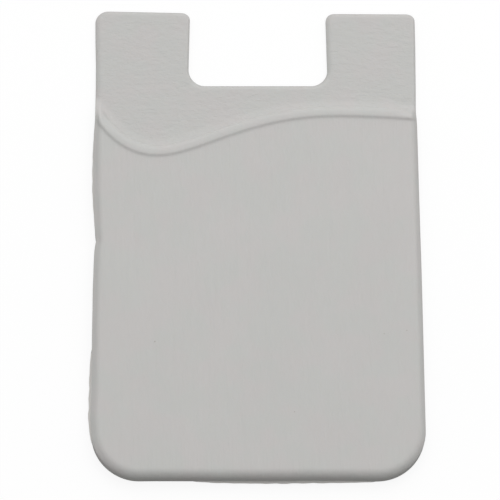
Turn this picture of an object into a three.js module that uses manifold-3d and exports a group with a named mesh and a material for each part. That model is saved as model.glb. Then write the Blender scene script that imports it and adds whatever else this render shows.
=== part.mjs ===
// Stick-on card pocket for the back of a phone: one soft silicone moulding with a wavy pocket mouth and two
// ears beside a thumb notch, an adhesive pad on its back, and the release liner that covers the pad.
// It lies on its back. X runs across, Y from the pocket's bottom to the ears, Z through the thickness.
// The origin is the middle of the back face. All sizes are in millimetres.

import * as THREE from 'three';
import { mergeVertices } from 'three/addons/utils/BufferGeometryUtils.js';
import Module from 'manifold-3d';

// Moulding
const width = 57;
const length = 86.2;
const backThickness = 1;
const cardGap = 0.9;
const frontThickness = 1.05;
const sideWall = 1.3;
const bottomWall = 1.6;
const bottomCornerLeft = 8.2;
const bottomCornerRight = 8.4;
const pocketEdgeRadius = 1.5;
const panelEdgeRadius = 0.9;

// Ears and the thumb notch between them
const leftEarInset = 0.25;
const rightEarInset = 0.1;
const leftEarRise = 0.3;
const leftEarOuterCorner = 2.6;
const leftEarInnerCorner = 1.6;
const rightEarInnerCorner = 1.4;
const rightEarOuterCorner = 1.6;
const notchWidth = 24.1;
const notchOffset = 0.5;
const notchFlare = 0.3;
const notchDepth = 14;
const notchCorner = 2.9;

// Pocket mouth: a wave with a low ridge along it and a rounded lip that overhangs the card gap
const crestBelowNotch = 6.6;
const troughBelowNotch = 14.1;
const endsBelowNotch = 7.2;
const crestX = 14.3;
const troughX = -17.35;
const leftEndHandleX = 2;
const leftEndHandleY = 2.25;
const troughLeftHandle = 6.1;
const troughRightHandle = 7.2;
const crestLeftHandle = 15.8;
const crestRightHandle = 5;
const rightEndHandleX = 5;
const rightEndHandleY = 0.4;
const waveRunOut = 4;
const lipWidth = 2;
const ridgeHeight = 0.3;
const ridgeRise = 0.3;

// Thin flash left along the back edge where the moulding was trimmed
const flashThickness = 0.15;
const flashPatches = [
  { x: -width / 2, y: 15, halfLength: 8.3, reach: 0.6, upright: true },
  { x: -width / 2, y: 54, halfLength: 8, reach: 0.25, upright: true },
  { x: 4.5, y: 0, halfLength: 15.5, reach: 0.4, upright: false },
];

// Adhesive pad and liner
const adhesiveThickness = 0.25;
const linerThickness = 0.1;
const padSideMargin = 3.5;
const padBottomMargin = 3;
const padNotchMargin = 3.2;
const padCorner = 5;
const linerOverhang = 0.4;
const tabRadius = 4;
const tabReach = 2;

// Smoothness of curves
const arcSteps = 10;
const edgeSteps = 4;
const bendSteps = 18;

// Heights of the layers, from the face that meets the phone
const adhesiveBottom = linerThickness;
const backBottom = adhesiveBottom + adhesiveThickness;
const gapBottom = backBottom + backThickness;
const gapTop = gapBottom + cardGap;
const frontTop = gapTop + frontThickness;
const ridgeTop = frontTop + ridgeHeight;
const halfWidth = width / 2;
const notchFloor = length - notchDepth;
const waveEndY = notchFloor - endsBelowNotch;
const troughY = notchFloor - troughBelowNotch;
const crestY = notchFloor - crestBelowNotch;

// Joining and cutting
const wasm = await Module();
wasm.setup();

function toSolid(geometry) {
  const bare = geometry.clone();
  bare.deleteAttribute('normal');
  bare.deleteAttribute('uv');
  const merged = mergeVertices(bare, 1e-5);
  const vertProperties = new Float32Array(merged.attributes.position.array);
  const triVerts = new Uint32Array(merged.index.array);
  return new wasm.Manifold(new wasm.Mesh({ numProp: 3, vertProperties, triVerts }));
}

function toGeometry(solid) {
  const mesh = solid.getMesh();
  const geometry = new THREE.BufferGeometry();
  geometry.setAttribute('position', new THREE.BufferAttribute(mesh.vertProperties, 3));
  geometry.setIndex(new THREE.BufferAttribute(mesh.triVerts, 1));
  geometry.computeVertexNormals();
  return geometry;
}

// A closed outline from corners [x, y, radius], listed anticlockwise
function roundedOutline(corners) {
  const shape = new THREE.Shape();
  corners.forEach(([x, y, radius], i) => {
    const corner = new THREE.Vector2(x, y);
    const [beforeX, beforeY] = corners.at(i - 1);
    const [afterX, afterY] = corners[(i + 1) % corners.length];
    const arriving = corner.clone().sub(new THREE.Vector2(beforeX, beforeY)).normalize();
    const leaving = new THREE.Vector2(afterX, afterY).sub(corner).normalize();
    const turn = Math.acos(arriving.dot(leaving));
    const side = Math.sign(arriving.cross(leaving));
    const start = corner.clone().addScaledVector(arriving, -radius * Math.tan(turn / 2));
    const centreX = start.x - side * radius * arriving.y;
    const centreY = start.y + side * radius * arriving.x;
    const from = Math.atan2(start.y - centreY, start.x - centreX);
    shape.absarc(centreX, centreY, radius, from, from + side * turn, side < 0);
  });
  shape.closePath();
  return shape;
}

// A flat plate between two heights
function plate(outline, bottom, top) {
  const options = { depth: top - bottom, bevelEnabled: false, curveSegments: arcSteps };
  return toSolid(new THREE.ExtrudeGeometry(outline, options).translate(0, 0, bottom));
}

// A plate whose upper edge is rounded and whose lower edge is sharp
function roundedPlate(outline, bottom, top, radius) {
  const geometry = new THREE.ExtrudeGeometry(outline, {
    depth: top - bottom,
    bevelThickness: radius,
    bevelSize: radius,
    bevelOffset: -radius,
    bevelSegments: edgeSteps,
    curveSegments: arcSteps,
  });
  geometry.translate(0, 0, bottom - radius);
  const below = new THREE.BoxGeometry(2 * width, 3 * length, 2 * radius);
  below.translate(0, 0, bottom - radius);
  return toSolid(geometry).subtract(toSolid(below));
}

// The whole panel seen from the front, with its ears and notch
function panelOutline() {
  const earLeft = leftEarInset - halfWidth;
  const earRight = halfWidth - rightEarInset;
  const notchLeft = notchOffset - notchWidth / 2;
  const notchRight = notchOffset + notchWidth / 2;
  return roundedOutline([
    [earLeft, 0, bottomCornerLeft],
    [earRight, 0, bottomCornerRight],
    [earRight, length, rightEarOuterCorner],
    [notchRight, length, rightEarInnerCorner],
    [notchRight + notchFlare, notchFloor, notchCorner],
    [notchLeft - notchFlare, notchFloor, notchCorner],
    [notchLeft, length, leftEarInnerCorner],
    [earLeft, length + leftEarRise, leftEarOuterCorner],
  ]);
}

// The wave that the ridge follows. It runs out straight past both edges of the pocket
function mouthLine() {
  const at = (x, y) => new THREE.Vector3(x, y, frontTop);
  const bends = [
    [at(-halfWidth, waveEndY), at(-halfWidth + leftEndHandleX, waveEndY - leftEndHandleY)],
    [at(troughX - troughLeftHandle, troughY), at(troughX, troughY)],
    [at(troughX + troughRightHandle, troughY), at(crestX - crestLeftHandle, crestY)],
    [at(crestX, crestY), at(crestX + crestRightHandle, crestY)],
    [at(halfWidth - rightEndHandleX, waveEndY + rightEndHandleY), at(halfWidth, waveEndY)],
  ].flat();
  const runOut = (end, inner) => end.clone().addScaledVector(end.clone().sub(inner).normalize(), waveRunOut);
  const line = new THREE.CurvePath();
  line.add(new THREE.LineCurve3(runOut(bends.at(0), bends.at(1)), bends.at(0)));
  for (let i = 0; i + 3 < bends.length; i += 3) {
    line.add(new THREE.CubicBezierCurve3(...bends.slice(i, i + 4)));
  }
  line.add(new THREE.LineCurve3(bends.at(-1), runOut(bends.at(-1), bends.at(-2))));
  return line;
}

// Everything below the lip's nose, which runs beside the wave at the lip's width, and wider than the pocket
function belowLip(line) {
  const points = line.getPoints(bendSteps);
  const nose = points.map((point, i) => {
    const before = points[Math.max(i - 1, 0)];
    const after = points[Math.min(i + 1, points.length - 1)];
    const along = after.clone().sub(before).normalize();
    return new THREE.Vector2(point.x - along.y * lipWidth, point.y + along.x * lipWidth);
  });
  const left = new THREE.Vector2(-width, -waveRunOut);
  const right = new THREE.Vector2(width, -waveRunOut);
  const leftSide = new THREE.Vector2(-width, nose.at(0).y);
  const rightSide = new THREE.Vector2(width, nose.at(-1).y);
  return new THREE.Shape([left, right, rightSide, ...nose.reverse(), leftSide]);
}

// The ridge's section: x is measured down from the front face, y from the wave towards the ears.
// It reaches into the card gap, which is cut out afterwards
function ridgeSection() {
  const root = frontThickness + cardGap / 2;
  const section = new THREE.Shape();
  section.moveTo(root, 0);
  section.lineTo(0, 0);
  section.quadraticCurveTo(-ridgeHeight, 0, -ridgeHeight, ridgeRise);
  section.quadraticCurveTo(-ridgeHeight, lipWidth, frontThickness, lipWidth);
  section.lineTo(root, lipWidth);
  section.closePath();
  return section;
}

function siliconePocket() {
  const line = mouthLine();
  const back = roundedPlate(panelOutline(), backBottom, gapBottom, panelEdgeRadius);

  const pocketOutline = roundedOutline([
    [-halfWidth, 0, bottomCornerLeft],
    [halfWidth, 0, bottomCornerRight],
    [halfWidth, length, leftEarOuterCorner],
    [-halfWidth, length, leftEarOuterCorner],
  ]);
  const body = roundedPlate(pocketOutline, backBottom, frontTop, pocketEdgeRadius);
  const lip = roundedPlate(belowLip(line), backBottom, frontTop, pocketEdgeRadius);

  const swept = { steps: 3 * bendSteps, curveSegments: edgeSteps, extrudePath: line };
  const ridge = toSolid(new THREE.ExtrudeGeometry(ridgeSection(), swept));
  const ridgeLimit = roundedPlate(pocketOutline, backBottom, ridgeTop, pocketEdgeRadius + ridgeHeight);

  const gapSide = halfWidth - sideWall;
  const gapOutline = roundedOutline([
    [-gapSide, bottomWall, bottomCornerLeft - sideWall],
    [gapSide, bottomWall, bottomCornerRight - sideWall],
    [gapSide, notchFloor, notchCorner],
    [-gapSide, notchFloor, notchCorner],
  ]);
  const gap = plate(gapOutline, gapBottom, gapTop);
  const front = body.intersect(lip).add(ridge.intersect(ridgeLimit)).subtract(gap);
  let pocket = front.add(back);

  for (const { x, y, halfLength, reach, upright } of flashPatches) {
    const patch = new THREE.Shape();
    const radii = upright ? [reach, halfLength] : [halfLength, reach];
    patch.absellipse(x, y, ...radii, 0, 2 * Math.PI);
    pocket = pocket.add(plate(patch, backBottom, backBottom + flashThickness));
  }
  return toGeometry(pocket);
}

// The pad covers the flat of the back below the notch
function padOutline(overhang) {
  const side = halfWidth - padSideMargin + overhang;
  const bottom = padBottomMargin - overhang;
  const top = notchFloor - padNotchMargin + overhang;
  const radius = padCorner + overhang;
  return roundedOutline([
    [-side, bottom, radius],
    [side, bottom, radius],
    [side, top, radius],
    [-side, top, radius],
  ]);
}

function adhesivePad() {
  return toGeometry(plate(padOutline(0), adhesiveBottom, backBottom));
}

// The liner is a little larger than the pad and has a round tab to lift it by
function releaseLiner() {
  const tab = new THREE.Shape();
  tab.absarc(halfWidth - padSideMargin + tabReach - tabRadius, length / 2, tabRadius, 0, 2 * Math.PI);
  const sheet = plate(padOutline(linerOverhang), 0, adhesiveBottom);
  return toGeometry(sheet.add(plate(tab, 0, adhesiveBottom)));
}

const holder = new THREE.Group();
holder.name = 'card_holder';

function addPart(name, geometry, color, roughness) {
  const material = new THREE.MeshStandardMaterial({ color, roughness, metalness: 0 });
  const mesh = new THREE.Mesh(geometry, material);
  mesh.name = name;
  mesh.position.y = -length / 2;
  holder.add(mesh);
}

addPart('silicone_pocket', siliconePocket(), '#c0bfbc', 0.6);
addPart('adhesive_pad', adhesivePad(), '#e9e6dc', 0.45);
addPart('release_liner', releaseLiner(), '#e8c66a', 0.4);

export default holder;
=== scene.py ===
# Stick-on card pocket for the back of a phone, dressed for a close look: one soft silicone moulding with a
# wavy mouth and two ears beside a thumb notch, on an adhesive pad with its release liner.
# The pocket is worked out in millimetres (X across, Y from its bottom edge to the ears, Z up from the back),
# then moved so that the origin is in the middle of the back, and turned to metres.

import math

import bmesh
import bpy
import numpy as np
from mathutils import Matrix, Vector
from mathutils.geometry import delaunay_2d_cdt


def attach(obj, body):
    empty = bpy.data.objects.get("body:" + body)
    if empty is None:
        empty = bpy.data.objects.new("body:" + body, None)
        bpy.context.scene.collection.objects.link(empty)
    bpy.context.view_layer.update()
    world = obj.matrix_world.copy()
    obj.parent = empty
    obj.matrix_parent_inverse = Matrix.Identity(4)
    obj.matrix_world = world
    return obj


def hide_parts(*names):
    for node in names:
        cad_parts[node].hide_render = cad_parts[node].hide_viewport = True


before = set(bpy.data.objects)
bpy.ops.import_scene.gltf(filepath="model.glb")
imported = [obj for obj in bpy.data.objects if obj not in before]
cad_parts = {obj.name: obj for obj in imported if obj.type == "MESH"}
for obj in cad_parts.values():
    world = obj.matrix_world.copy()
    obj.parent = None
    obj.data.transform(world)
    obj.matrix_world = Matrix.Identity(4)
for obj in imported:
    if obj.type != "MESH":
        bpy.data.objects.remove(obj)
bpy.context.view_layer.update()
mm = 0.001

# Seen in the photograph: how the camera stands over the holder. Angles are in degrees and lengths in
# millimetres, and only what it can see near and far is in metres
camera = {
    "distance": 578.07,
    "elevation": 70.728,
    "azimuth": -5.49,
    "roll": 5.36,
    "focalLength": 239.87,
    "target": (-1.216, -1.943, 1.8),
    "sensorWidth": 36,
    "nearAndFar": (0.01, 20),
}

# Plain pale floor and soft light, with lengths in metres and the lamp's power in watts
stage = {
    "floorSize": 3.0,
    "floorLevel": -0.00005,
    "floorColour": "#959593",
    "floorShadow": 0.12,
    "ambient": 0.68,
    "ambientLean": 0.335,
    "keyPower": 1.18,
    "keySize": (0.6, 0.35),
    "keyPlace": (0.08, 0.25, 0.47),
}

# The silicone moulding, in millimetres
pocket = {
    "width": 57.0,
    "length": 86.2,
    "backBottom": 0.35,
    "gapBottom": 1.35,
    "gapTop": 2.25,
    "frontTop": 3.3,
    "sideWall": 1.3,
    "bottomWall": 1.6,
    "bottomCorners": (8.3, 8.5),
    # Edges by the way that they face: width of a straight bevel, width of the rounding into the flat, slope
    "bodyEdges": {"left": (0.7, 0.85, 0.8), "right": (0.1, 1.3, 1.35)},
    "bodyBottomRadius": 1.5,
    "panelEdges": {"left": (0.0, 1.05, 1.0), "right": (0.0, 0.5, 1.4), "top": (0.1, 0.8, 1.45)},
    "earRise": 0.29,
    "earCorners": {"leftOuter": 2.45, "leftInner": 1.6, "rightInner": 1.6, "rightOuter": 1.55},
    "notch": {"top": (-11.53, 12.6), "floor": (-11.9, 12.8), "depth": (14.0, 13.88), "corner": 2.9},
    # How far the trimmed edge lies inside the moulding's straight sides, by height up the pocket for the left
    # and the right, and by place across it for the bottom
    "leftTrim": [
        (6, 0), (8, 0.06), (10, -0.12), (12, -0.1), (16, 0), (26, 0.02), (30, 0.07), (34, 0.09), (36, 0.16),
        (38, 0.2), (40, 0.26), (41.4, 0.38), (42.6, 0.62), (44, 0.4), (46, 0.3), (48, 0.28), (49.8, 0.17),
        (52, 0.06), (56, 0.02), (62, 0.03), (63.6, 0.14), (65, 0.22), (68, 0.25), (72, 0.3), (76, 0.29),
        (80, 0.18), (86, 0.12),
    ],
    "rightTrim": [
        (34, 0), (40, 0.02), (44, 0.06), (52, 0.1), (60, 0.12), (64, 0.14), (66.6, 0.24), (70, 0.14), (80, 0),
    ],
    "bottomTrim": [
        (-22, 0), (-18, 0.05), (-10, 0.05), (-8, 0), (4, 0), (8, 0.07), (16, 0.07), (20, 0.03), (24, 0),
    ],
    "trimWidth": 3.0,
    "trimEdge": 0.5,
    "wave": [
        [(-28.5, 65.0), (-26.5, 62.75), (-23.45, 58.1), (-17.35, 58.1)],
        [(-17.35, 58.1), (-10.15, 58.1), (-1.5, 65.6), (14.3, 65.6)],
        [(14.3, 65.6), (19.3, 65.6), (23.5, 65.4), (28.5, 65.0)],
    ],
    "lipWidth": 2.0,
    "lipMargin": 0.015,
    "ridgeHeight": 0.3,
    "ridgeFoot": -0.1,
    "ridgeSpread": (0.22, 0.55),
    "ridgeSlowShare": 0.15,
    "ridgeCrest": 0.3,
    "ridgeEnds": (0.1, 0.9),
    "noseFullness": 2.8,
    "sillHeight": 0.55,
    "sillWidth": 2.2,
    "sideRampEnd": 3.5,
    "sideRampDepth": (1.35, 4.2),
    # Thin flash at the foot of the wall, with the strength and the pace of its two waverings
    "flashThickness": 0.15,
    "flash": [
        {"side": "left", "middle": 15.0, "half": 8.3, "reach": 0.5},
        {"side": "left", "middle": 54.0, "half": 8.0, "reach": 0.25},
        {"side": "bottom", "middle": 4.5, "half": 15.5, "reach": 0.4},
    ],
    "flashSway": (0.12, 2.1),
    "flashRipple": (0.08, 5.3),
    "flashLimit": 1.1,
    "flashFacing": 0.9,
    "wallFoot": 0.03,
    # How far the flash must stand out before it gets painted light, a paler colour for the light bounced onto
    # it
    "paintedFlashFrom": 0.04,
    # The card gap: a little play under and over it, how far it reaches past the lip, and its upper corners
    "gapPlay": (0.002, 0.01),
    "gapReach": 0.02,
    "gapTopRadius": 2,
    "earSkin": (1.0, 2.0),
    # How the mesh is drawn: steps along its lines, the lines beside the outline and the wave, and the grid
    "outlineStep": 0.9,
    "outlineArc": 28,
    "waveSteps": 48,
    "waveRunOut": 4.0,
    "gapStep": 4.0,
    "gapArc": 16,
    "ringDepths": [0, 0.012, 0.045, 0.1, 0.17, 0.25, 0.34, 0.44, 0.57, 0.72, 0.9, 1.2, 1.5, 1.8, 2.4],
    "waveOffsets": [
        -3, -2.2, -1.6, -1.1, -0.8, -0.6, -0.45, -0.33, -0.23, -0.14, -0.05, 0.04, 0.14, 0.26, 0.4, 0.6, 0.8,
        1.0, 1.2, 1.4, 1.55, 1.7, 1.8, 1.88, 1.94, 1.98, 2.0, 2.03, 2.2, 2.4, 2.6, 2.9, 3.2, 3.6, 4.0,
    ],
    "gridStep": 1.3,
    "gridShift": 0.31,
    "gridPace": (7.7, 5.1),
    "gridInset": 3,
    "gridFromWave": 4.6,
    "sharpAngle": 38,
}


def linear(colour):
    # sRGB hex to the linear values that shaders take
    parts = [int(colour[i : i + 2], 16) / 255 for i in (1, 3, 5)]
    return tuple(c / 12.92 if c <= 0.04045 else ((c + 0.055) / 1.055) ** 2.4 for c in parts) + (1.0,)


# Shapes in plan


def roundedOutline(corners, step, arcSteps):
    # Points and outward normals round a closed outline of corners (x, y, radius), listed anticlockwise
    points, normals = [], []
    count = len(corners)
    arcs = []
    for i, (x, y, radius) in enumerate(corners):
        corner = np.array([x, y])
        arriving = corner - np.array(corners[i - 1][:2])
        leaving = np.array(corners[(i + 1) % count][:2]) - corner
        arriving /= np.linalg.norm(arriving)
        leaving /= np.linalg.norm(leaving)
        turn = math.acos(float(arriving @ leaving))
        side = math.copysign(1, arriving[0] * leaving[1] - arriving[1] * leaving[0])
        start = corner - arriving * radius * math.tan(turn / 2)
        centre = start + side * radius * np.array([-arriving[1], arriving[0]])
        first = math.atan2(*(start - centre)[::-1])
        angles = first + side * turn * np.linspace(0, 1, arcSteps + 1)
        rays = np.stack([np.cos(angles), np.sin(angles)], axis=1)
        arcs.append((centre + radius * rays, side * rays))
    for i, (arc, rays) in enumerate(arcs):
        points.append(arc)
        normals.append(rays)
        end, begin = arc[-1], arcs[(i + 1) % count][0][0]
        pieces = max(1, round(float(np.linalg.norm(begin - end)) / step))
        along = (begin - end) / np.linalg.norm(begin - end)
        for k in range(1, pieces):
            points.append((end + (begin - end) * k / pieces)[None])
            normals.append(np.array([[along[1], -along[0]]]))
    return np.concatenate(points), np.concatenate(normals)


def bezierLine(bends, steps, runOut):
    # One open line through cubic bends, run out straight past both ends
    t = np.linspace(0, 1, steps + 1)[:, None]
    parts = []
    for a, b, c, d in np.array(bends):
        curve = (1 - t) ** 3 * a + 3 * (1 - t) ** 2 * t * b + 3 * (1 - t) * t**2 * c + t**3 * d
        parts.append(curve[1:] if parts else curve)
    line = np.concatenate(parts)
    first, last = line[0] - line[1], line[-1] - line[-2]
    first, last = first / np.linalg.norm(first), last / np.linalg.norm(last)
    return np.concatenate([[line[0] + runOut * first], line, [line[-1] + runOut * last]])


def beside(line, offset):
    # The line that runs beside an open line, at an offset to its left
    along = np.gradient(line, axis=0)
    along /= np.linalg.norm(along, axis=1)[:, None]
    return line + offset * np.stack([-along[:, 1], along[:, 0]], axis=1)


def nearest(points, line, closed):
    # Each point's distance to a line, the side it is on (positive on the left) and the line's direction there
    starts = line if closed else line[:-1]
    ends = np.roll(line, -1, axis=0) if closed else line[1:]
    along = ends - starts
    lengths = (along**2).sum(axis=1)
    distance, side, direction = [], [], []
    for block in np.array_split(points, max(1, len(points) // 1500)):
        away = block[:, None] - starts[None]
        t = np.clip((away * along).sum(axis=2) / lengths, 0, 1)
        gap = away - t[..., None] * along
        squared = (gap**2).sum(axis=2)
        best = squared.argmin(axis=1)
        rows = np.arange(len(block))
        distance.append(np.sqrt(squared[rows, best]))
        a, g = along[best], away[rows, best]
        side.append(np.sign(a[:, 0] * g[:, 1] - a[:, 1] * g[:, 0]))
        direction.append(a / np.linalg.norm(a, axis=1)[:, None])
    return np.concatenate(distance), np.concatenate(side), np.concatenate(direction)


def smooth(value, low, high):
    t = np.clip((value - low) / (high - low), 0, 1)
    return t * t * (3 - 2 * t)


def roundDrop(depth, radius):
    # How far a round edge lies below its flat, at a depth in from the edge
    inward = radius - np.minimum(depth, radius)
    return radius - np.sqrt(radius**2 - inward**2)


def bevelDrop(depth, bevel, rounding, slope):
    # The same for a straight bevel that is rounded into its flat
    rounded = slope * np.clip(bevel + rounding - depth, 0, rounding) ** 2 / (2 * rounding)
    return rounded + slope * np.clip(bevel - depth, 0, None)


# Meshes


def slab(name, outline, low, high):
    # A closed flat plate with an outline, in metres
    count = len(outline)
    verts = [(x, y, z) for z in (low, high) for x, y in outline]
    sides = [(i, (i + 1) % count, (i + 1) % count + count, i + count) for i in range(count)]
    faces = [tuple(reversed(range(count))), tuple(range(count, 2 * count))] + sides
    mesh = bpy.data.meshes.new(name)
    mesh.from_pydata([tuple(float(c) * mm for c in v) for v in verts], [], faces)
    piece = bpy.data.objects.new(name, mesh)
    bpy.context.scene.collection.objects.link(piece)
    return piece


# Materials


def newMaterial(name):
    material = bpy.data.materials.new(name)
    material.use_nodes = True
    tree = material.node_tree
    return material, tree, tree.nodes["Principled BSDF"]


def feed(tree, node, inputs):
    # Each input takes a value, a colour in hex or another node's output
    for key, value in inputs.items():
        if isinstance(value, bpy.types.NodeSocket):
            tree.links.new(value, node.inputs[key])
        else:
            node.inputs[key].default_value = linear(value) if isinstance(value, str) else value


def addNode(tree, kind, inputs=None, **settings):
    # A node with its settings, its values and the links into it
    node = tree.nodes.new(kind)
    for key, value in settings.items():
        setattr(node, key, value)
    feed(tree, node, inputs or {})
    return node


def blend(tree, share, first, second):
    # Mix of two colours by the second one's share
    return addNode(tree, "ShaderNodeMix", {0: share, 6: first, 7: second}, data_type="RGBA").outputs[2]


def compute(tree, operation, *values):
    return addNode(tree, "ShaderNodeMath", dict(enumerate(values)), operation=operation).outputs["Value"]


def spread(tree, value, limits):
    inputs = {"Value": value, "To Min": limits[0], "To Max": limits[1]}
    return addNode(tree, "ShaderNodeMapRange", inputs).outputs["Result"]


def relief(tree, height, strength, distance):
    # Fine relief that tilts the light without moving the surface
    inputs = {"Height": height, "Strength": strength, "Distance": distance}
    return addNode(tree, "ShaderNodeBump", inputs).outputs["Normal"]


def moulded():
    # Moulded silicone: a soft matt skin, faintly mottled, finely wrinkled on the ears, smoother on the pocket
    look = {
        "colour": "#c2c1bf",
        "shade": "#bdbcba",
        "earColour": "#bfbebc",
        "rosy": "#c5bfbe",
        "greenish": "#bec1bd",
        "mottle": 0.24,
        "mottleLimits": (0.4, 0.6),
        # Painted light: the thin flash is made paler to stand in for the light bounced onto it
        "paintedFlashLight": "#e0deda",
        "roughness": (0.52, 0.66),
        "ior": 1.41,
        "subsurface": 0.15,
        "subsurfaceReach": 0.5,
        "subsurfaceColours": (1.0, 0.9, 0.8),
        "patchSize": 14.0,
        "mottleSize": 5.0,
        "grainSize": 0.8,
        "grainStretch": (0.5, 1.0, 1.0),
        "grainDepth": 0.13,
        "streakSize": 1.6,
        "streakStretch": (1.0, 0.12, 1.0),
        "streakDepth": 0.13,
        "specks": [(-17.7, 24.0, 0.13), (6.1, 11.5, 0.1), (21.7, 25.5, 0.1), (25.6, 26.1, 0.1)],
        "speck": "#a9a6a1",
    }
    material, tree, skin = newMaterial("moulded silicone")
    place = addNode(tree, "ShaderNodeTexCoord").outputs["Object"]
    ears = addNode(tree, "ShaderNodeAttribute", attribute_name="earSkin").outputs["Fac"]
    # Mask of the flash faces that get the painted light
    thin = addNode(tree, "ShaderNodeAttribute", attribute_name="paintedFlashLightMask").outputs["Fac"]

    def noise(size, stretch, detail, roughness, distortion=0.0):
        placed = addNode(tree, "ShaderNodeMapping", {"Vector": place, "Scale": stretch}).outputs["Vector"]
        inputs = {"Vector": placed, "Scale": 1 / (size * mm), "Detail": detail, "Roughness": roughness}
        inputs["Distortion"] = distortion
        return addNode(tree, "ShaderNodeTexNoise", inputs).outputs["Fac"]

    # Broad soft patches, and smaller ones that turn faintly rosy or greenish
    body = blend(tree, noise(look["patchSize"], (1, 1, 1), 3.0, 0.6), look["colour"], look["shade"])
    tone = blend(tree, ears, body, look["earColour"])
    mottle = noise(look["mottleSize"], (1, 1, 1), 2.0, 0.5)
    low, high = look["mottleLimits"]
    hue = addNode(tree, "ShaderNodeMapRange", {"Value": mottle, "From Min": low, "From Max": high})
    tint = blend(tree, hue.outputs["Result"], look["rosy"], look["greenish"])
    tone = blend(tree, look["mottle"], tone, tint)
    # Four tiny darker specks, then painted light on the thin flash: a paler colour that stands in for the
    # light bounced onto it
    for x, y, radius in look["specks"]:
        spot = Vector((x, y - pocket["length"] / 2, pocket["frontTop"])) * mm
        away = addNode(tree, "ShaderNodeVectorMath", {0: place, 1: spot}, operation="DISTANCE")
        dot = compute(tree, "LESS_THAN", away.outputs["Value"], radius * mm)
        tone = blend(tree, dot, tone, look["speck"])
    tone = blend(tree, thin, tone, look["paintedFlashLight"])

    # Wrinkles on the ears, and streaks that run up the pocket
    grain = noise(look["grainSize"], look["grainStretch"], 4.0, 0.62, 0.25)
    streaks = noise(look["streakSize"], look["streakStretch"], 3.0, 0.55)
    streakRelief = compute(tree, "MULTIPLY", streaks, look["streakDepth"] * mm)
    grainRelief = compute(tree, "MULTIPLY", grain, look["grainDepth"] * mm)
    heights = {0: ears, 2: streakRelief, 3: grainRelief}
    height = addNode(tree, "ShaderNodeMix", heights, data_type="FLOAT").outputs[0]
    inputs = {
        "Base Color": tone,
        "Roughness": spread(tree, grain, look["roughness"]),
        "Normal": relief(tree, height, 1.0, 1.0),
        "IOR": look["ior"],
        "Subsurface Weight": look["subsurface"],
        "Subsurface Radius": look["subsurfaceColours"],
        "Subsurface Scale": look["subsurfaceReach"] * mm,
    }
    feed(tree, skin, inputs)
    return material


def foamTape():
    # Adhesive foam tape: off-white, with the fine closed cells of acrylic foam and a slightly tacky sheen
    look = {
        "colour": "#ece9e0",
        "cell": "#d9d5c8",
        "roughness": 0.42,
        "ior": 1.48,
        "cellSize": 0.35,
        "cellDepth": 0.02,
        "cloudSize": 6,
    }
    material, tree, skin = newMaterial("acrylic foam tape")
    place = addNode(tree, "ShaderNodeTexCoord").outputs["Object"]
    inputs = {"Vector": place, "Scale": 1 / (look["cellSize"] * mm), "Randomness": 1.0}
    cells = addNode(tree, "ShaderNodeTexVoronoi", inputs).outputs["Distance"]
    inputs = {"Vector": place, "Scale": 1 / (look["cloudSize"] * mm), "Detail": 4.0}
    cloud = addNode(tree, "ShaderNodeTexNoise", inputs).outputs["Fac"]
    share = compute(tree, "MULTIPLY", cells, cloud)
    inputs = {
        "Base Color": blend(tree, share, look["colour"], look["cell"]),
        "Normal": relief(tree, cells, 0.5, look["cellDepth"] * mm),
        "Roughness": look["roughness"],
        "IOR": look["ior"],
    }
    feed(tree, skin, inputs)
    return material


def glassine():
    # Glassine release paper: amber, with faint fibres and a smooth waxy face
    look = {
        "colour": "#e8c66a",
        "fibre": "#d9b354",
        "roughness": (0.28, 0.4),
        "ior": 1.5,
        "fibreSize": 0.8,
        "fibreStretch": (1.0, 0.25, 1.0),
        "fibreDepth": 0.01,
    }
    material, tree, skin = newMaterial("glassine release paper")
    place = addNode(tree, "ShaderNodeTexCoord").outputs["Object"]
    drawn = addNode(tree, "ShaderNodeMapping", {"Vector": place, "Scale": look["fibreStretch"]})
    inputs = {
        "Vector": drawn.outputs["Vector"],
        "Scale": 1 / (look["fibreSize"] * mm),
        "Detail": 6.0,
        "Roughness": 0.7,
        "Distortion": 0.8,
    }
    fibres = addNode(tree, "ShaderNodeTexNoise", inputs).outputs["Fac"]
    inputs = {
        "Base Color": blend(tree, fibres, look["colour"], look["fibre"]),
        "Roughness": spread(tree, fibres, look["roughness"]),
        "Normal": relief(tree, fibres, 0.4, look["fibreDepth"] * mm),
        "IOR": look["ior"],
    }
    feed(tree, skin, inputs)
    return material


# The silicone moulding


def panelCorners(p):
    ear = p["width"] / 2
    radii, notch = p["earCorners"], p["notch"]
    floorLeft, floorRight = (p["length"] - depth for depth in notch["depth"])
    return [
        (-ear, 0, p["bottomCorners"][0]),
        (ear, 0, p["bottomCorners"][1]),
        (ear, p["length"], radii["rightOuter"]),
        (notch["top"][1], p["length"], radii["rightInner"]),
        (notch["floor"][1], floorRight, notch["corner"]),
        (notch["floor"][0], floorLeft, notch["corner"]),
        (notch["top"][0], p["length"], radii["leftInner"]),
        (-ear, p["length"] + p["earRise"], radii["leftOuter"]),
    ]


def ridgeRise(p, across):
    # Share of the ridge's height across its foot: steep, with a slow start on the pocket's side
    steep, slow = (0.5 + 0.5 * np.tanh((across - p["ridgeFoot"]) / width) for width in p["ridgeSpread"])
    started = (1 - p["ridgeSlowShare"]) * steep + p["ridgeSlowShare"] * slow
    return np.where(across < p["ridgeFoot"], started, steep)


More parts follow.
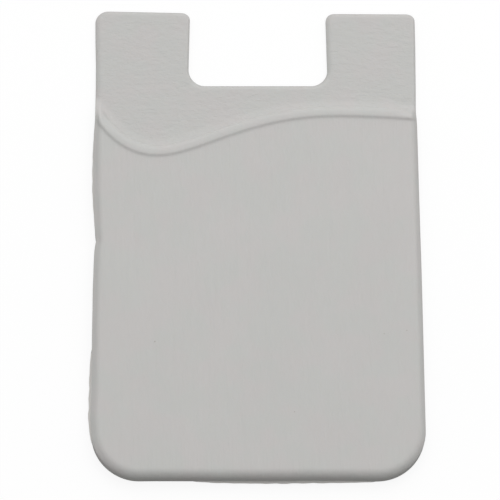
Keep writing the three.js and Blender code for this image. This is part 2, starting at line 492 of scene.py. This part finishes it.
def frontHeight(p, depth, across, facingX):
    # Height of the upper skin from the depth in from the outline, the distance across the wave (positive
    # towards the ears) and the way that the nearest edge faces
    left, right = np.clip(-facingX, 0, 1) ** 2, np.clip(facingX, 0, 1) ** 2
    ends = 1 - left - right
    body, thin = p["bodyEdges"], p["panelEdges"]
    bodyDrop = left * bevelDrop(depth, *body["left"]) + right * bevelDrop(depth, *body["right"])
    bodyDrop = bodyDrop + ends * roundDrop(depth, p["bodyBottomRadius"])
    panelDrop = left * bevelDrop(depth, *thin["left"]) + right * bevelDrop(depth, *thin["right"])
    panelDrop = panelDrop + ends * bevelDrop(depth, *thin["top"])

    front = p["frontTop"] - bodyDrop
    ridge = front + p["ridgeHeight"] * smooth(depth, *p["ridgeEnds"])
    raisedFront = front + (ridge - front) * ridgeRise(p, across)
    # The lip's nose falls from the ridge to the card gap's roof
    ridgeTop = p["frontTop"] + p["ridgeHeight"]
    nose = np.clip((across - p["ridgeCrest"]) / (p["lipWidth"] - p["ridgeCrest"]), 0, 1)
    fallen = 1 - (1 - nose ** p["noseFullness"]) ** (1 / p["noseFullness"])
    lip = np.minimum(raisedFront, ridgeTop - (ridgeTop - p["gapTop"]) * fallen)
    # The panel swells a little just past the lip
    panel = p["gapBottom"] - panelDrop
    sill = 1 - np.clip((across - p["lipWidth"]) / p["sillWidth"], 0, 1)
    inner = smooth(depth, *p["sideRampDepth"])
    swollen = panel + p["sillHeight"] * sill**2 * inner
    base = np.where(across > p["lipWidth"] + p["lipMargin"], swollen, lip)
    # At both sides the lip runs down into the ears instead of ending in a step
    side = raisedFront + (panel - ridge) * smooth(across, p["ridgeCrest"], p["sideRampEnd"])
    return base + (side - base) * (1 - inner)


def flashReach(p, place, outward):
    # How far the thin flash stands out from each point of the rim
    reach = np.zeros(len(place))
    sway, ripple, most = p["flashSway"], p["flashRipple"], p["flashLimit"]
    for patch in p["flash"]:
        axis = 0 if patch["side"] == "left" else 1
        along = place[:, 1 - axis]
        t = np.clip(np.abs(along - patch["middle"]) / patch["half"], 0, 1)
        wobble = 1 + sway[0] * np.sin(along * sway[1] + patch["middle"])
        wobble += ripple[0] * np.sin(along * ripple[1])
        share = np.sqrt(1 - t**2) * np.clip(wobble, 0, most) / most
        reach += patch["reach"] * share * (-outward[:, axis] > p["flashFacing"])
    return reach


def pocketPlan(p, outline, normals, wave):
    # Points and triangles in plan: rings inside the outline, lines beside the wave and a grid elsewhere
    plan, edges = [], []

    def addLine(points, closed):
        first = sum(len(part) for part in plan)
        plan.append(points)
        last = len(points) if closed else len(points) - 1
        edges.extend((first + i, first + (i + 1) % len(points)) for i in range(last))

    for depth in p["ringDepths"]:
        addLine(outline - normals * depth, True)
    for offset in p["waveOffsets"]:
        addLine(beside(wave, offset), False)
    xs = np.arange(-p["width"] / 2, p["width"] / 2, p["gridStep"])
    ys = np.arange(0, p["length"], p["gridStep"])
    grid = np.stack(np.meshgrid(xs, ys), axis=-1).reshape(-1, 2)
    grid[:, 0] += p["gridShift"] * np.sin(grid[:, 1] * p["gridPace"][0])
    grid[:, 1] += p["gridShift"] * np.sin(grid[:, 0] * p["gridPace"][1])
    depth, inside, _ = nearest(grid, outline, True)
    fromWave, _, _ = nearest(grid, wave, False)
    plan.append(grid[(inside > 0) & (depth > p["gridInset"]) & (fromWave > p["gridFromWave"])])

    found = delaunay_2d_cdt([Vector(v) for v in np.concatenate(plan)], edges, [], 1, 1e-5)
    points = np.array([tuple(v) for v in found[0]])
    triangles = np.array(found[2])
    corner = points[triangles]
    spanA, spanB = corner[:, 1] - corner[:, 0], corner[:, 2] - corner[:, 0]
    turned = spanA[:, 0] * spanB[:, 1] - spanA[:, 1] * spanB[:, 0] < 0
    triangles[turned] = triangles[turned][:, ::-1]
    return points, triangles


def openRim(mesh):
    # The vertices along a mesh's open edge, in order
    follows = {}
    for edge in mesh.edges:
        if len(edge.link_faces) == 1:
            loops = edge.link_faces[0].loops
            start = next(item.vert for item in loops if item.edge == edge)
            follows[start] = edge.other_vert(start)
    rim = [next(iter(follows))]
    while follows[rim[-1]] != rim[0]:
        rim.append(follows[rim[-1]])
    return rim


def addWall(p, mesh, rim):
    # The wall below the rim, the flash at its foot and the flat back
    place = np.array([tuple(v.co)[:2] for v in rim])
    ahead = np.roll(place, -1, axis=0) - np.roll(place, 1, axis=0)
    ahead /= np.linalg.norm(ahead, axis=1)[:, None]
    outward = np.stack([ahead[:, 1], -ahead[:, 0]], axis=1)
    reach = flashReach(p, place, outward)
    out = place + outward * reach[:, None]
    flashTop = p["backBottom"] + p["flashThickness"]
    rings = [rim]
    for ringPlace, z in ((place, flashTop + p["wallFoot"]), (out, flashTop), (out, p["backBottom"])):
        rings.append([mesh.verts.new((x, y, z)) for x, y in ringPlace])
    # Flash faces that stand out far enough are marked for painted light, a paler colour for the light bounced
    # onto them
    paintedFlashLight = mesh.faces.layers.float.new("paintedFlashLightMask")
    for level, (above, below) in enumerate(zip(rings, rings[1:])):
        for i in range(len(rim)):
            j = (i + 1) % len(rim)
            wall = mesh.faces.new((above[i], below[i], below[j], above[j]))
            wall[paintedFlashLight] = float(level > 0 and min(reach[i], reach[j]) > p["paintedFlashFrom"])
    mesh.faces.new(rings[-1][::-1])


def trimSides(p, mesh):
    # The slightly uneven trimmed edge, then the move to the model's own origin and metres
    half = p["width"] / 2
    for vert in mesh.verts:
        x, y, z = vert.co
        for side, trim in ((-1, "leftTrim"), (1, "rightTrim")):
            near = smooth(side * x, half - p["trimWidth"], half - p["trimEdge"])
            x -= side * near * np.interp(y, *zip(*p[trim]))
        y += (1 - smooth(y, p["trimEdge"], p["trimWidth"])) * np.interp(x, *zip(*p["bottomTrim"]))
        vert.co = Vector((x, y - p["length"] / 2, z)) * mm


def cardGap(p, wave):
    # The card gap as a solid to cut away: round lower corners, and an upper edge just past the lip
    side = p["width"] / 2 - p["sideWall"]
    middle = p["length"] / 2
    floor = p["length"] - p["notch"]["depth"][0]
    lowerRadii = [radius - p["sideWall"] for radius in p["bottomCorners"]]
    corners = [
        (-side, p["bottomWall"], lowerRadii[0]),
        (side, p["bottomWall"], lowerRadii[1]),
        (side, floor, p["gapTopRadius"]),
        (-side, floor, p["gapTopRadius"]),
    ]
    rounded, _ = roundedOutline(corners, p["gapStep"], p["gapArc"])
    lower = rounded[rounded[:, 1] < middle]
    order = np.argsort(np.arctan2(lower[:, 1] - middle, lower[:, 0]))
    nose = beside(wave, p["lipWidth"] + p["gapReach"])[::-1]
    nose = nose[np.abs(nose[:, 0]) < side]
    outline = np.concatenate([lower[order], [[side, nose[0, 1]]], nose, [[-side, nose[-1, 1]]]])
    outline[:, 1] -= middle
    under, over = p["gapPlay"]
    return slab("card gap", outline, p["gapBottom"] + under, p["gapTop"] + over)


def siliconePocket(p, material):
    outline, normals = roundedOutline(panelCorners(p), p["outlineStep"], p["outlineArc"])
    wave = bezierLine(p["wave"], p["waveSteps"], p["waveRunOut"])
    points, triangles = pocketPlan(p, outline, normals, wave)
    depth, _, along = nearest(points, outline, True)
    distance, side, _ = nearest(points, wave, False)
    heights = frontHeight(p, depth, distance * side, along[:, 1])

    mesh = bmesh.new()
    upper = [mesh.verts.new((x, y, z)) for (x, y), z in zip(points, heights)]
    for triangle in triangles:
        mesh.faces.new([upper[i] for i in triangle])
    bmesh.ops.delete(mesh, geom=[v for v in mesh.verts if not v.link_faces], context="VERTS")
    addWall(p, mesh, openRim(mesh))
    trimSides(p, mesh)
    bmesh.ops.triangulate(mesh, faces=[f for f in mesh.faces if len(f.verts) > 4])
    bmesh.ops.recalc_face_normals(mesh, faces=mesh.faces)
    data = bpy.data.meshes.new("silicone pocket body")
    mesh.to_mesh(data)
    mesh.free()
    piece = bpy.data.objects.new("silicone_pocket_skin", data)
    bpy.context.scene.collection.objects.link(piece)

    gap = cardGap(p, wave)
    cut = piece.modifiers.new("card gap", "BOOLEAN")
    cut.operation = "DIFFERENCE"
    cut.solver = "EXACT"
    cut.object = gap
    made = bpy.data.meshes.new_from_object(piece.evaluated_get(bpy.context.evaluated_depsgraph_get()))
    piece.modifiers.clear()
    piece.data = made
    bpy.data.objects.remove(gap)
    made.name = "silicone pocket"
    made.materials.clear()
    made.materials.append(material)

    # The ears' wrinkled skin sets in on the lip
    places = np.array([tuple(v.co) for v in made.vertices]) / mm
    places[:, 1] += p["length"] / 2
    distance, side, _ = nearest(places[:, :2], wave, False)
    ears = made.attributes.new("earSkin", "FLOAT", "POINT")
    ears.data.foreach_set("value", smooth(distance * side, *p["earSkin"]).astype(np.float32))
    for polygon in made.polygons:
        polygon.use_smooth = True
    made.set_sharp_from_angle(angle=math.radians(p["sharpAngle"]))
    return piece


pocketPiece = siliconePocket(pocket, moulded())
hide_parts("silicone_pocket")
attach(pocketPiece, "root")
print("silicone pocket:", len(pocketPiece.data.polygons), "faces")

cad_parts["adhesive_pad"].material_slots[0].material = foamTape()
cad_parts["release_liner"].material_slots[0].material = glassine()
print("adhesive pad and release liner have their materials")


# Floor, light and camera


def buildFloor(s):
    half = s["floorSize"] / 2
    corners = [(-half, -half), (half, -half), (half, half), (-half, half)]
    mesh = bpy.data.meshes.new("floor")
    mesh.from_pydata([(x, y, s["floorLevel"]) for x, y in corners], [], [(0, 1, 2, 3)])
    floor = bpy.data.objects.new("floor", mesh)
    bpy.context.scene.collection.objects.link(floor)
    material = bpy.data.materials.new("pale floor")
    material.use_nodes = True
    tree = material.node_tree
    tree.nodes.clear()
    # To the camera the floor is white, and only the shadow under the holder takes from it
    seen = addNode(tree, "ShaderNodeLightPath").outputs["Is Camera Ray"]
    tone = blend(tree, seen, s["floorColour"], "#ffffff")
    lit = addNode(tree, "ShaderNodeBsdfDiffuse", {"Color": tone}).outputs["BSDF"]
    glow = addNode(tree, "ShaderNodeEmission", {"Color": "#ffffff", "Strength": 1.0}).outputs["Emission"]
    share = compute(tree, "MULTIPLY", seen, 1 - s["floorShadow"])
    both = addNode(tree, "ShaderNodeMixShader", {0: share, 1: lit, 2: glow})
    addNode(tree, "ShaderNodeOutputMaterial", {"Surface": both.outputs["Shader"]})
    mesh.materials.append(material)


def buildLight(s):
    world = bpy.data.worlds.new("soft studio")
    world.use_nodes = True
    bpy.context.scene.world = world
    tree = world.node_tree
    tree.nodes.clear()
    # The soft light is stronger from the ears' end, and the camera sees plain white behind the floor
    towards = addNode(tree, "ShaderNodeTexCoord").outputs["Generated"]
    parts = addNode(tree, "ShaderNodeSeparateXYZ", {"Vector": towards})
    strength = compute(tree, "MULTIPLY_ADD", parts.outputs["Y"], s["ambientLean"], s["ambient"])
    around = addNode(tree, "ShaderNodeBackground", {"Color": "#ffffff", "Strength": strength})
    white = addNode(tree, "ShaderNodeBackground", {"Color": "#ffffff", "Strength": 1.0})
    seen = addNode(tree, "ShaderNodeLightPath").outputs["Is Camera Ray"]
    shown = {0: seen, 1: around.outputs["Background"], 2: white.outputs["Background"]}
    both = addNode(tree, "ShaderNodeMixShader", shown)
    addNode(tree, "ShaderNodeOutputWorld", {"Surface": both.outputs["Shader"]})

    data = bpy.data.lights.new("key", "AREA")
    data.shape = "RECTANGLE"
    data.size, data.size_y = s["keySize"]
    data.energy = s["keyPower"]
    lamp = bpy.data.objects.new("key", data)
    bpy.context.scene.collection.objects.link(lamp)
    lamp.location = s["keyPlace"]
    lamp.rotation_euler = (-Vector(lamp.location)).to_track_quat("-Z", "Y").to_euler()


def buildCamera(c):
    azimuth, elevation, roll = (math.radians(c[key]) for key in ("azimuth", "elevation", "roll"))
    back = Vector(
        (
            math.sin(azimuth) * math.cos(elevation),
            -math.cos(azimuth) * math.cos(elevation),
            math.sin(elevation),
        )
    )
    right = Vector((0, 0, 1)).cross(back).normalized()
    up = back.cross(right)
    across = math.cos(roll) * right + math.sin(roll) * up
    upward = -math.sin(roll) * right + math.cos(roll) * up
    data = bpy.data.cameras.new("camera")
    data.sensor_width = c["sensorWidth"]
    data.lens = c["focalLength"]
    data.clip_start, data.clip_end = c["nearAndFar"]
    eye = bpy.data.objects.new("camera", data)
    bpy.context.scene.collection.objects.link(eye)
    place = (Vector(c["target"]) + c["distance"] * back) * mm
    turn = Matrix((across, upward, back)).transposed().to_4x4()
    eye.matrix_world = Matrix.Translation(place) @ turn
    bpy.context.scene.camera = eye


buildFloor(stage)
buildLight(stage)
buildCamera(camera)
bpy.context.scene.view_settings.view_transform = "Standard"
print("floor, light and camera are set")
